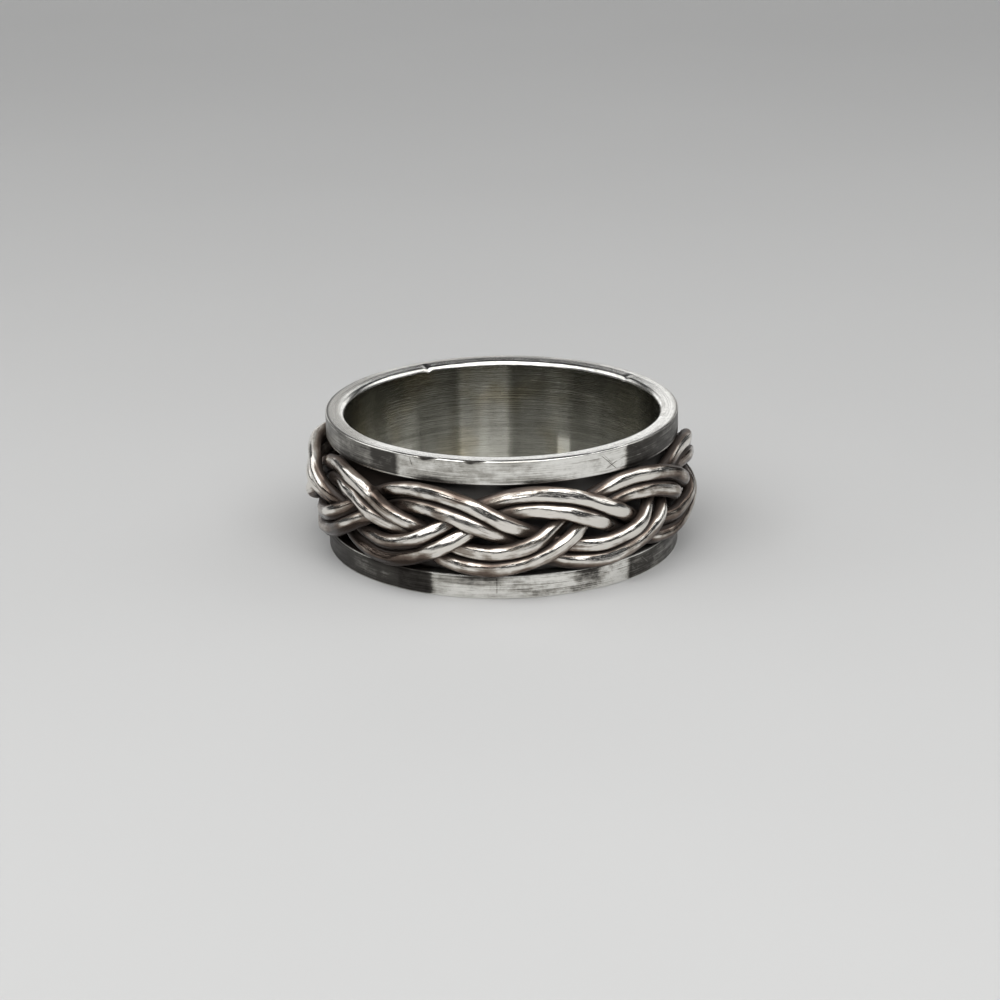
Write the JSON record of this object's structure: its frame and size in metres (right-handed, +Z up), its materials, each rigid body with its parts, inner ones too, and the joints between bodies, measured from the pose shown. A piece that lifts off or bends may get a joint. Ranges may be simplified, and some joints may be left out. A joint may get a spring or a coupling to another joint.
{
  "type": "braided band ring",
  "caption": "Finger ring with a plain inner sleeve, raised rims at both edges and a flat plait of doubled wires proud of the channel between them.",
  "frame": {"origin": "on the ring's axis, at the bottom face of the lower rim", "axes": "+Z up along the finger, -Y towards the viewer of the picture, +X to that viewer's right"},
  "size_m": [0.0228, 0.0226, 0.0081],
  "materials": {
    "band_silver": "worn sterling silver with fine scratches round the rims and a near black oxidised channel",
    "plait_silver": "polished sterling silver on the high spots, brown to black oxide in the hollows"
  },
  "bodies": {
    "root": {"band": "band_silver", "strand_a": "plait_silver", "strand_b": "plait_silver", "strand_c": "plait_silver"}
  },
  "joints": []
}
